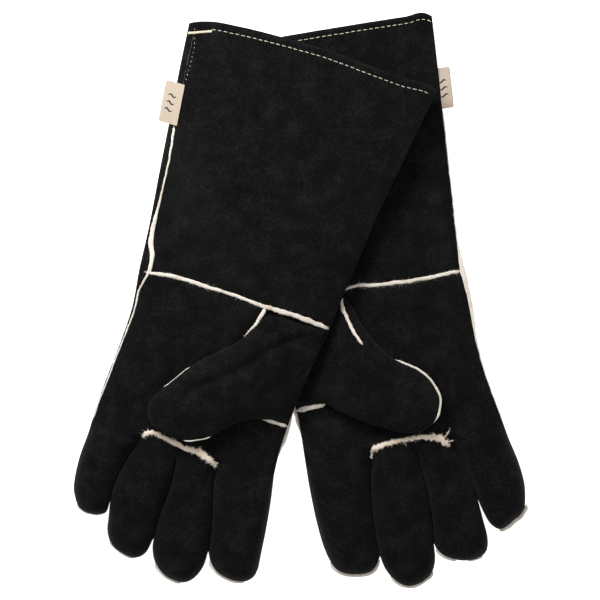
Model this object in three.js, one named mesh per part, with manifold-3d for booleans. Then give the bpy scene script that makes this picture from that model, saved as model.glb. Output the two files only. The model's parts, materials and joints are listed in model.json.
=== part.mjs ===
// A pair of long heat-resistant gauntlet gloves in black split leather, seams piped with a pale leather welt.
// The two gloves lie flat, palm side up: the right-hand glove on the table, the left-hand one across its
// cuff. Millimetres, +Z up, +Y from the fingertips to the cuffs. The origin is on the table under the pair's
// middle.
//
// Each glove is built in its own frame: the origin is the middle of the wrist seam, +x runs to the thumb side
// and +y to the cuff. The right-hand glove's group is mirrored in x.
import * as THREE from "three";
import { mergeVertices } from "three/addons/utils/BufferGeometryUtils.js";
import Module from "manifold-3d";

// ---- driving dimensions -----------------------------------------------------------------------------
const LEATHER = 1.4; // split cowhide panels
const LINING = 1.2; // cotton fleece in the hand, canvas in the cuff
const CLEARANCE = 0.4; // between one layer and the next
const SEAM_GAP = 1.6; // from a seam's line to the edge of the panel beside it
const WELT_R = 1.2; // a welt's rounded edge where it shows
const FLUSH_WELT_R = 0.8; // a welt pressed flush with the leather
const THREAD_R = 0.4;
const OVAL_POWER = 2 / 2.4; // superellipse that a relaxed sleeve's cross-section follows
const OVAL_FLAT = 0.93; // share of the oval's half height at which its back is pressed flat

const HAND_THICK = 17; // a relaxed hand lying on the table
const CUFF_LOW = 1.4; // how far the hem's underside clears the table
const HEM_DEPTH = 6; // from the mouth's edge down to the hem's stitches
const THUMB_THICK = 12.4;
const THUMB_REST = 17.9; // underside of the thumb, lying on the palm
const GUSSET_TOP = 17.8; // the thumb's root, pressed flat beside the side seam
const LIFT = 19; // how far the upper glove is raised where it crosses the lower one
const LIFT_RUN = 60; // length over which it comes down to the table

const LEATHER_LOOK = { color: 0x17171a, roughness: 0.95, metalness: 0 };
const WELT_LOOK = { color: 0xe3d3bf, roughness: 0.9, metalness: 0 };
const LINING_LOOK = { color: 0xcfc6b4, roughness: 1, metalness: 0 };
const THREAD_LOOK = { color: 0xe8e0c4, roughness: 0.7, metalness: 0 };
const LABEL_LOOK = { color: 0xd2c0aa, roughness: 0.85, metalness: 0 };

// Side edges are [y, x] stations from the fingers to the mouth. Knuckles run from the little finger's outer
// edge to the index finger's. Fingers give their tip and their widest part.
const GLOVES = {
  left: {
    at: [-47.24, 1.27],
    turn: -17.5,
    mirror: 1,
    outer: [[-121, -72.5], [-98, -72.5], [-56, -70], [-30, -69.5], [0, -73], [25, -75], [74, -80.5],
      [108, -84], [156, -89], [196, -92.5]],
    inner: [[-121, 67.5], [-95, 66], [-66, 67], [-34, 70], [0, 74], [22, 76], [62, 80], [102, 84], [128, 88],
      [163, 93], [196, 98]],
    mouth: 188.5,
    arch: 6,
    knuckles: [[-72.5, -119], [-35.5, -121.5], [-5.5, -122], [25, -122], [67.5, -115.5]],
    fingers: [
      { name: "little", tip: [-55.5, -183.5], width: 33 },
      { name: "ring", tip: [-22, -205], width: 35.5 },
      { name: "middle", tip: [19, -211], width: 37.5 },
      { name: "index", tip: [57.5, -198], width: 37.5 },
    ],
    thumb: { hinge: [14, -66], turn: 33, length: 60, width: 44, raise: 2.2 },
    seamRoll: 20,
    labelAt: 110,
    lifted: true,
  },
  right: {
    at: [47.06, 10.27],
    turn: 9.4,
    mirror: -1,
    outer: [[-121, -88], [-95, -80.5], [-77, -77.5], [-57, -76.3], [-23, -76.5], [5, -74.8], [52, -76.5],
      [118, -80], [155, -82], [196, -84]],
    inner: [[-121, 62.3], [-84, 62.3], [-66, 64], [-34, 68], [0, 74], [62, 81], [128, 90], [196, 98]],
    mouth: 188.5,
    arch: 2.5,
    knuckles: [[-88, -117], [-47, -124], [-18.5, -124.5], [13.5, -124.5], [62.3, -120.5]],
    fingers: [
      { name: "little", tip: [-76.5, -193.5], width: 35 },
      { name: "ring", tip: [-43, -212.5], width: 37 },
      { name: "middle", tip: [-1, -224], width: 39 },
      { name: "index", tip: [39, -210.5], width: 38.5 },
    ],
    thumb: { hinge: [12, -67], turn: 24, length: 61, width: 44, raise: 0 },
    seamRoll: 2,
    labelAt: 119,
    lifted: false,
  },
};

// Where the lower glove's hidden edge runs under the upper one, in the upper glove's frame.
const LEDGE = { point: [-90, 160], normal: [0.818, 0.574] };

const wasm = await Module();
wasm.setup();

// ---- small helpers ----------------------------------------------------------------------------------
const radians = THREE.MathUtils.degToRad;
const { lerp, smoothstep } = THREE.MathUtils;
const span = (from, to, steps) => Array.from({ length: steps + 1 }, (_, i) => lerp(from, to, i / steps));

// A smooth function through [position, value] stations in rising order.
function throughStations(stations) {
  const at = stations.map((s) => s[0]);
  const curve = new THREE.CubicInterpolant(at, stations.map((s) => s[1]), 1);
  return (x) => curve.evaluate(THREE.MathUtils.clamp(x, at[0], at[at.length - 1]))[0];
}

// A straight-line function through [position, value] points in rising order.
function throughPoints(points) {
  const curve = new THREE.LinearInterpolant(points.map((p) => p[0]), points.map((p) => p[1]), 1);
  return (x) => curve.evaluate(THREE.MathUtils.clamp(x, points[0][0], points[points.length - 1][0]))[0];
}

// A point of a sleeve's oval section: 0 degrees is the outer edge, 90 the palm side, 180 the inner edge. The
// back lies flat on the table.
function oval(degrees, halfWidth, halfHeight) {
  const [c, s] = [Math.cos(radians(degrees)), Math.sin(radians(degrees))];
  const stretch = (value) => Math.sign(value) * Math.abs(value) ** OVAL_POWER;
  const lift = Math.max(stretch(s), -OVAL_FLAT) * (s < 0 ? 1 / OVAL_FLAT : 1);
  return [-stretch(c) * halfWidth, lift * halfHeight];
}

// ---- geometry builders ------------------------------------------------------------------------------
function geometryFrom(points, triangles) {
  const geometry = new THREE.BufferGeometry().setFromPoints(points);
  geometry.setIndex(triangles);
  return geometry;
}

// A closed sheet between two equal grids of points, outside[row][column] and inside[row][column]. Around a
// sleeve the columns close on themselves, and a capped sleeve is also closed past its last row.
function layer(outside, inside, { around = false, capped = false } = {}) {
  const rows = outside.length;
  const columns = outside[0].length;
  const points = [...outside.flat(), ...inside.flat()];
  const [out, inn] = [(i, j) => i * columns + (j % columns), (i, j) => (rows + i) * columns + (j % columns)];
  const triangles = [];
  const quad = (a, b, c, d) => triangles.push(a, b, c, a, c, d);
  const lastColumn = around ? columns : columns - 1;
  for (let i = 0; i + 1 < rows; i++) {
    for (let j = 0; j < lastColumn; j++) {
      quad(out(i, j), out(i, j + 1), out(i + 1, j + 1), out(i + 1, j));
      quad(inn(i, j), inn(i + 1, j), inn(i + 1, j + 1), inn(i, j + 1));
    }
    if (!around) {
      quad(out(i, 0), out(i + 1, 0), inn(i + 1, 0), inn(i, 0));
      quad(out(i, lastColumn), inn(i, lastColumn), inn(i + 1, lastColumn), out(i + 1, lastColumn));
    }
  }
  for (let j = 0; j < lastColumn; j++) {
    quad(out(0, j), inn(0, j), inn(0, j + 1), out(0, j + 1));
    if (!capped) quad(out(rows - 1, j), out(rows - 1, j + 1), inn(rows - 1, j + 1), inn(rows - 1, j));
  }
  if (capped) {
    const total = (ring) => ring.reduce((sum, p) => sum.add(p), new THREE.Vector3());
    const middle = (ring) => total(ring).divideScalar(ring.length);
    points.push(middle(outside[rows - 1]), middle(inside[rows - 1]));
    for (let j = 0; j < columns; j++) {
      triangles.push(out(rows - 1, j), out(rows - 1, j + 1), points.length - 2);
      triangles.push(inn(rows - 1, j + 1), inn(rows - 1, j), points.length - 1);
    }
  }
  return geometryFrom(points, triangles);
}

// Turns the faces outwards if the builder's winding came out inside out.
function facingOut(geometry) {
  const solid = solidFrom(geometry);
  if (solid.volume() > 0) return geometry;
  const index = geometry.getIndex();
  for (let i = 0; i < index.count; i += 3) {
    const second = index.getX(i + 1);
    index.setX(i + 1, index.getX(i + 2));
    index.setX(i + 2, second);
  }
  return geometry;
}

function solidFrom(geometry) {
  const bare = new THREE.BufferGeometry().setAttribute("position", geometry.getAttribute("position"));
  if (geometry.getIndex()) bare.setIndex(geometry.getIndex());
  const merged = mergeVertices(bare, 1e-3);
  return new wasm.Manifold(
    new wasm.Mesh({
      numProp: 3,
      vertProperties: new Float32Array(merged.attributes.position.array),
      triVerts: new Uint32Array(merged.index.array),
    }),
  );
}

function geometryOf(solid) {
  const mesh = solid.getMesh();
  const points = [];
  for (let i = 0; i < mesh.numVert; i++)
    points.push(new THREE.Vector3(...mesh.vertProperties.subarray(i * mesh.numProp, i * mesh.numProp + 3)));
  return geometryFrom(points, Array.from(mesh.triVerts));
}

// A cord-like piece of round section along a list of points.
function strip(points, radius, steps, sides = 5) {
  const section = new THREE.Shape(
    span(0, 2 * Math.PI, sides)
      .slice(0, sides)
      .map((a) => new THREE.Vector2(radius * Math.cos(a), radius * Math.sin(a))),
  );
  const path = new THREE.CatmullRomCurve3(points, false, "centripetal");
  return new THREE.ExtrudeGeometry(section, { steps, extrudePath: path, bevelEnabled: false });
}

function mesh(name, geometry, look) {
  const made = new THREE.Mesh(facingOut(geometry), new THREE.MeshStandardMaterial(look));
  made.name = name;
  return made;
}

// ---- the sleeve of one glove: cuff and hand ---------------------------------------------------------
function sleeveOf(glove) {
  const outer = throughStations(glove.outer);
  const inner = throughStations(glove.inner);
  const knuckle = throughPoints(glove.knuckles);
  const ramp = (x, y) => {
    const along = LEDGE.normal[0] * (x - LEDGE.point[0]) + LEDGE.normal[1] * (y - LEDGE.point[1]);
    return smoothstep(along, 5 - LIFT_RUN, 5) * smoothstep(y, -105, -30);
  };
  // Everything on the sleeve is shaped as if flat on the table, then raised over the lower glove.
  const draped = (geometry) => {
    const spot = geometry.getAttribute("position");
    for (let i = 0; glove.lifted && i < spot.count; i++)
      spot.setZ(i, spot.getZ(i) + LIFT * ramp(spot.getX(i), spot.getY(i)));
    return geometry;
  };
  const low = (y) => CUFF_LOW * smoothstep(y, 60, 150);
  const high = (y) => HAND_THICK - 1.6 * smoothstep(y, -40, 40) + 1.6 * smoothstep(y, 80, 180);
  // A point where a line across the sleeve meets an angle round it; inset is the depth below the surface.
  const point = (line, degrees, inset) => {
    const [side] = oval(degrees, 1, 1);
    const y = line(side);
    const halfWidth = (inner(y) - outer(y)) / 2 - inset;
    const halfHeight = (high(y) - low(y)) / 2 - inset;
    const [across, up] = oval(degrees, halfWidth, halfHeight);
    const x = (inner(y) + outer(y)) / 2 + across;
    return new THREE.Vector3(x, y, (high(y) + low(y)) / 2 + up);
  };
  const halfKnuckle = (glove.knuckles[4][0] - glove.knuckles[0][0]) / 2;
  const midKnuckle = (glove.knuckles[4][0] + glove.knuckles[0][0]) / 2;
  const lines = {
    wrist: () => 0,
    handTop: () => -SEAM_GAP,
    cuffFoot: () => SEAM_GAP,
    mouth: (side) => glove.mouth + glove.arch * (1 - side * side),
    knuckles: (side) => knuckle(midKnuckle + halfKnuckle * side) + CLEARANCE,
  };
  return { point, draped, lines };
}

const linesBetween = (from, to, rows) => span(0, 1, rows).map((t) => (side) => lerp(from(side), to(side), t));

// A panel or lining of the sleeve: one row of points on each line, one column at each angle.
function sleeveLayer(sleeve, rows, angles, depth, thick, options) {
  const grid = (inset) => rows.map((line) => angles.map((a) => sleeve.point(line, a, inset)));
  return layer(grid(depth), grid(depth + thick), options);
}

const seamAngles = (glove, steps) => ({
  palm: span(glove.seamRoll + 7, 173, steps),
  back: span(187, 353 + glove.seamRoll, steps),
});

// The outline, in the glove's plan, of the palm that the thumb's root piece takes the place of.
function thumbWindow(grow) {
  const window = new THREE.Shape();
  window.moveTo(90, 2 + grow);
  window.lineTo(24 - grow, 2 + grow);
  window.bezierCurveTo(21 - grow, -18, 6 - grow, -40, 10 - grow, -62);
  window.bezierCurveTo(14 - grow, -76 - grow, 34, -79.5 - grow, 48, -79.5 - grow);
  window.lineTo(90, -79.5 - grow);
  return window;
}

function windowCutter(grow, low) {
  const options = { depth: 80, bevelEnabled: false, curveSegments: 8 };
  const prism = new THREE.ExtrudeGeometry(thumbWindow(grow), options);
  prism.translate(0, 0, low);
  return solidFrom(prism);
}

function cuffPieces(side, glove, sleeve) {
  const { lines, draped } = sleeve;
  const seams = seamAngles(glove, 8);
  const hem = (x) => lines.mouth(x) - HEM_DEPTH;
  const lined = linesBetween(lines.cuffFoot, hem, 6);
  const panel = (angles) => sleeveLayer(sleeve, [...lined, lines.mouth], angles, 0, LEATHER);
  const round = [...seams.palm, ...seams.back];
  const lining = sleeveLayer(sleeve, lined, round, LEATHER + CLEARANCE, LINING, { around: true });
  const hemPath = span(22, 158, 16).map((a) => sleeve.point(hem, a, -(THREAD_R + CLEARANCE)));
  return [
    mesh(`${side}_cuff_palm_panel`, draped(panel(seams.palm)), LEATHER_LOOK),
    mesh(`${side}_cuff_back_panel`, draped(panel(seams.back)), LEATHER_LOOK),
    mesh(`${side}_cuff_lining`, draped(lining), LINING_LOOK),
    mesh(`${side}_hem_thread`, draped(strip(hemPath, THREAD_R, 16, 4)), THREAD_LOOK),
  ];
}

function handPieces(side, glove, sleeve) {
  const { lines, draped } = sleeve;
  const seams = seamAngles(glove, 9);
  const rows = linesBetween(lines.handTop, lines.knuckles, 6);
  const panel = (angles) => sleeveLayer(sleeve, rows, angles, 0, LEATHER);
  const palm = solidFrom(facingOut(panel(seams.palm))).subtract(windowCutter(CLEARANCE, 0));
  const round = [...seams.palm, ...seams.back];
  const lining = sleeveLayer(sleeve, rows, round, LEATHER + CLEARANCE, LINING, { around: true });
  const pierced = solidFrom(facingOut(lining)).subtract(windowCutter(2, HAND_THICK / 2 + 1));
  return [
    mesh(`${side}_palm_panel`, draped(geometryOf(palm)), LEATHER_LOOK),
    mesh(`${side}_back_panel`, draped(panel(seams.back)), LEATHER_LOOK),
    mesh(`${side}_hand_lining`, draped(geometryOf(pierced)), LINING_LOOK),
  ];
}

// The welts: thin leather strips caught in the seams, with one edge showing.
function weltPieces(side, glove, sleeve) {
  const { lines, point, draped } = sleeve;
  const straight = (from, to, angle, radius, out) =>
    draped(strip(linesBetween(from, to, 12).map((line) => point(line, angle, -out)), radius, 16));
  const across = (angles, radius, out) =>
    draped(strip(angles.map((a) => point(lines.wrist, a, -out)), radius, 16));
  const belowLabel = () => glove.labelAt - 1.5;
  const foot = (x) => lines.knuckles(x) + 1.5;
  const hem = () => glove.mouth - HEM_DEPTH - 3;
  const knuckleFrom = glove.knuckles[1][0];
  const knuckleTo = glove.knuckles[3][0];
  const fingerSeam = span(knuckleFrom, knuckleTo, 8).map((x) => {
    const y = throughPoints(glove.knuckles)(x) + CLEARANCE + WELT_R + 0.9;
    return new THREE.Vector3(x, y, HAND_THICK + WELT_R + 0.3);
  });
  const rootSeam = [[24, -3.2], [20.2, -16], [14.5, -30], [9.5, -45]].map(([x, y]) => {
    return new THREE.Vector3(x - 3, y, HAND_THICK + 1.3);
  });
  return [
    mesh(`${side}_wrist_welt_palm`, across(span(glove.seamRoll + 9, 169, 16), WELT_R, 0.2), WELT_LOOK),
    mesh(`${side}_wrist_welt_back`, across(span(191, 345, 16), FLUSH_WELT_R, -FLUSH_WELT_R - 0.2), WELT_LOOK),
    mesh(`${side}_outer_side_welt`, straight(foot, belowLabel, glove.seamRoll, 0.9, 0.5), WELT_LOOK),
    mesh(`${side}_inner_side_welt`, straight(foot, hem, 180, FLUSH_WELT_R, -0.2), WELT_LOOK),
    mesh(`${side}_finger_base_welt`, draped(strip(fingerSeam, WELT_R, 10)), WELT_LOOK),
    mesh(`${side}_thumb_base_welt`, draped(strip(rootSeam, FLUSH_WELT_R, 7)), WELT_LOOK),
  ];
}

// A folded cloth tab sewn into the outer side seam, lying flat beyond the edge.
function labelPiece(side, glove, sleeve) {
  const [width, height, thick, corner] = [14, 29.5, 1.2, 1.5];
  const shape = new THREE.Shape();
  shape.moveTo(0, 0);
  shape.lineTo(0, height);
  shape.lineTo(-width + corner, height);
  shape.quadraticCurveTo(-width, height, -width, height - corner);
  shape.lineTo(-width, corner);
  shape.quadraticCurveTo(-width, 0, -width + corner, 0);
  const tab = new THREE.ExtrudeGeometry(shape, { depth: thick, bevelEnabled: false, curveSegments: 3 });
  const y = glove.labelAt;
  const root = sleeve.point(() => y + height / 2, glove.seamRoll, 0);
  const stands = glove.seamRoll > 10 ? 1.6 : -thick / 2;
  const out = glove.seamRoll > 10 ? 0.6 : -CLEARANCE - 0.6;
  tab.rotateZ(radians(2.6));
  tab.translate(root.x + out + 0.7, y, root.z + stands);
  return mesh(`${side}_label`, sleeve.draped(tab), LABEL_LOOK);
}

// ---- fingers and thumb: closed stalls that bend about a line at their root --------------------------
const STALL_ROWS = [0, 0.28, 0.56, 0.78, 0.91, 0.975];

// A stall lies along -y from its root line, with its palm side at z = 0.
function stallPoint(stall, share, degrees, inset) {
  const length = stall.length - inset - CLEARANCE;
  const y = share * length;
  const round = stall.width * 0.52;
  const past = Math.max(0, (y - (length - round)) / round);
  const closing = (1 - Math.min(past, 0.985) ** 2.3) ** (1 / 2.3);
  const along = Math.min(1, y / stall.length);
  const width = lerp(stall.root, stall.width, smoothstep(along, 0, 0.85));
  const halfHeight = (stall.thick / 2 - inset) * closing ** 0.55;
  const [across, up] = oval(degrees, (width / 2 - inset) * closing, halfHeight);
  const middle = stall.skew * along + across;
  const sink = stall.thick / 2 + (stall.thick / 2 - inset - halfHeight) * 0.35;
  return new THREE.Vector3(middle, -CLEARANCE - y, up - sink);
}

function stallPieces(name, stall) {
  const grid = (angles, inset) => STALL_ROWS.map((s) => angles.map((a) => stallPoint(stall, s, a, inset)));
  const [palm, back] = [span(7, 173, 6), span(187, 353, 6)];
  const panel = (angles) => layer(grid(angles, 0), grid(angles, LEATHER));
  const around = [...palm, ...back];
  const depth = LEATHER + CLEARANCE;
  const pocket = layer(grid(around, depth), grid(around, depth + LINING), { around: true, capped: true });
  return [
    mesh(`${name}_palm_side`, panel(palm), LEATHER_LOOK),
    mesh(`${name}_back_side`, panel(back), LEATHER_LOOK),
    mesh(`${name}_lining`, pocket, LINING_LOOK),
  ];
}

function fingerGroup(side, glove, k) {
  const finger = glove.fingers[k];
  const [from, to] = [glove.knuckles[k], glove.knuckles[k + 1]];
  const middle = [(from[0] + to[0]) / 2, (from[1] + to[1]) / 2];
  const turn = Math.atan2(to[1] - from[1], to[0] - from[0]);
  const tip = new THREE.Vector2(finger.tip[0] - middle[0], finger.tip[1] - middle[1]).rotateAround(
    new THREE.Vector2(),
    -turn,
  );
  const root = Math.hypot(to[0] - from[0], to[1] - from[1]) - 1.2;
  const group = new THREE.Group();
  group.name = `${side}_${finger.name}_hinge`;
  group.position.set(middle[0], middle[1], HAND_THICK);
  group.rotation.z = turn;
  const stall = { length: -tip.y, skew: tip.x, root, width: finger.width, thick: HAND_THICK };
  group.add(...stallPieces(`${side}_${finger.name}`, stall));
  return group;
}

function thumbGroup(side, glove) {
  const { hinge, turn, length, width, raise } = glove.thumb;
  const group = new THREE.Group();
  group.name = `${side}_thumb_hinge`;
  group.position.set(hinge[0], hinge[1], THUMB_REST + THUMB_THICK + raise);
  group.rotation.z = radians(turn - 90);
  const stall = { length, skew: 0, root: width + 4, width: width - 2, thick: THUMB_THICK };
  group.add(...stallPieces(`${side}_thumb`, stall));
  return group;
}

// The thumb's root piece: it rises from the inner side seam and narrows into the thumb's stall.
function gussetPiece(side, glove, sleeve) {
  const { hinge, turn, width, raise } = glove.thumb;
  const along = [Math.cos(radians(turn)), Math.sin(radians(turn))];
  const half = width / 2 + 1;
  const corner = (sign) => [
    hinge[0] + along[0] * CLEARANCE + sign * along[1] * half,
    hinge[1] + along[1] * CLEARANCE - sign * along[0] * half,
  ];
  const edge = (points) => new THREE.CatmullRomCurve3(points.map(([x, y]) => new THREE.Vector3(x, y, 0)));
  const side1 = glove.knuckles[4][0] - 1.8;
  const upper = edge([[72.5, -3.2], [48, -3.2], [27, -4.5], [17, -20], corner(-1)]);
  const lower = edge([[side1, -76.5], [56, -76.5], [47, -77], [38, -80.5], corner(1)]);
  const stallTop = THUMB_REST + THUMB_THICK + raise;
  const surface = (s, t, inset) => {
    const p = upper.getPoint(s).lerp(lower.getPoint(s), t);
    const rim = (4 * t * (1 - t)) ** 0.4;
    const edgeRise = smoothstep(s, 0, 0.22) ** 0.6;
    const flat = lerp(HAND_THICK / 2 + 3.4, GUSSET_TOP, edgeRise);
    const stall = stallTop - THUMB_THICK * 0.5 * (1 - rim);
    const z = lerp(flat, stall, smoothstep(s, 0.5, 1));
    p.z = z - inset;
    return p;
  };
  const grid = (inset) => span(0, 1, 8).map((s) => span(0, 1, 6).map((t) => surface(s, t, inset)));
  return mesh(`${side}_thumb_root`, sleeve.draped(layer(grid(0), grid(LEATHER))), LEATHER_LOOK);
}

// ---- assembly ---------------------------------------------------------------------------------------
function gloveGroup(side, glove) {
  const sleeve = sleeveOf(glove);
  const group = new THREE.Group();
  group.name = `${side}_glove`;
  group.position.set(glove.at[0], glove.at[1], 0);
  group.rotation.z = radians(glove.turn);
  group.scale.x = glove.mirror;
  group.add(
    ...cuffPieces(side, glove, sleeve),
    ...handPieces(side, glove, sleeve),
    ...weltPieces(side, glove, sleeve),
    labelPiece(side, glove, sleeve),
    gussetPiece(side, glove, sleeve),
    thumbGroup(side, glove),
    ...glove.fingers.map((_, k) => fingerGroup(side, glove, k)),
  );
  return group;
}

const pair = new THREE.Group();
pair.add(gloveGroup("left", GLOVES.left), gloveGroup("right", GLOVES.right));

export default pair;
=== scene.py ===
"""A pair of heat resistant gauntlet gloves in black split leather with pale welted seams, lying palms up.

Each glove is shaped in its own frame, in millimetres, as in part.mjs: the origin is the middle of the wrist
seam, +x runs to the thumb side, +y to the cuff and +z out of the palm. place() takes it to the row's frame.
"""

import json
import math

import bpy
import numpy as np
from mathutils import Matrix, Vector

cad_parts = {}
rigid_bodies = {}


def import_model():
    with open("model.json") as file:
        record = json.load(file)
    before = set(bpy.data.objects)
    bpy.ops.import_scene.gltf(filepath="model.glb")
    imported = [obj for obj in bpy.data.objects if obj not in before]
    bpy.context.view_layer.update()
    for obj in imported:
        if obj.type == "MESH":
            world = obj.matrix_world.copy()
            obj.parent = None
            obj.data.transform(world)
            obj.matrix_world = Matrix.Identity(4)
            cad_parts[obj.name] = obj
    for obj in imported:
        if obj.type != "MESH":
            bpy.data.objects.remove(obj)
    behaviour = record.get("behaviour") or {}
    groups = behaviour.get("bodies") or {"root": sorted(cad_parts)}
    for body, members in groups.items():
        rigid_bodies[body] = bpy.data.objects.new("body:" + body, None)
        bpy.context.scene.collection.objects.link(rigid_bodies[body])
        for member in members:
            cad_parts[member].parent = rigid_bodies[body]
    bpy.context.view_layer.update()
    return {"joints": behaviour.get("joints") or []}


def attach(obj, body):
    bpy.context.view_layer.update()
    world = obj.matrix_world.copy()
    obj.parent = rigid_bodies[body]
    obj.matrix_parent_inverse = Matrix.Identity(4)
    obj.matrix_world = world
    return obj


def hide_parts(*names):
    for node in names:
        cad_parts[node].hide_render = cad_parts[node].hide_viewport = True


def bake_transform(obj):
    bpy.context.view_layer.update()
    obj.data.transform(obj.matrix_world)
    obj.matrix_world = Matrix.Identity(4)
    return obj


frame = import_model()

# ---- named sizes, the same as the CAD model's, in millimetres
MM = 0.001
HAND_THICK = 17.0
MID = HAND_THICK / 2
CUFF_LOW = 1.4
THUMB_THICK = 12.4
THUMB_REST = 17.9
THUMB_ROUNDING = 18
LIFT = 19.0
LIFT_RUN = 60.0
LEDGE = ((-90.0, 160.0), (0.818, 0.574))
OVAL = 2.4
OVAL_FLAT = 0.93
SKIN = 1.4
HEM_THICK = 2.6
HEM_WIDTH = 9.5
LINING_THICK = 0.9
LINING_INSET = 2.9
FINGER_LINING_INSET = 3.0
THUMB_LINING_THICK = 0.7
SEAM_DROP = 3.4
VALLEY_DEPTH = 0.55
FINGER_BEND = 30
THUMB_BEND = 26

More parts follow.
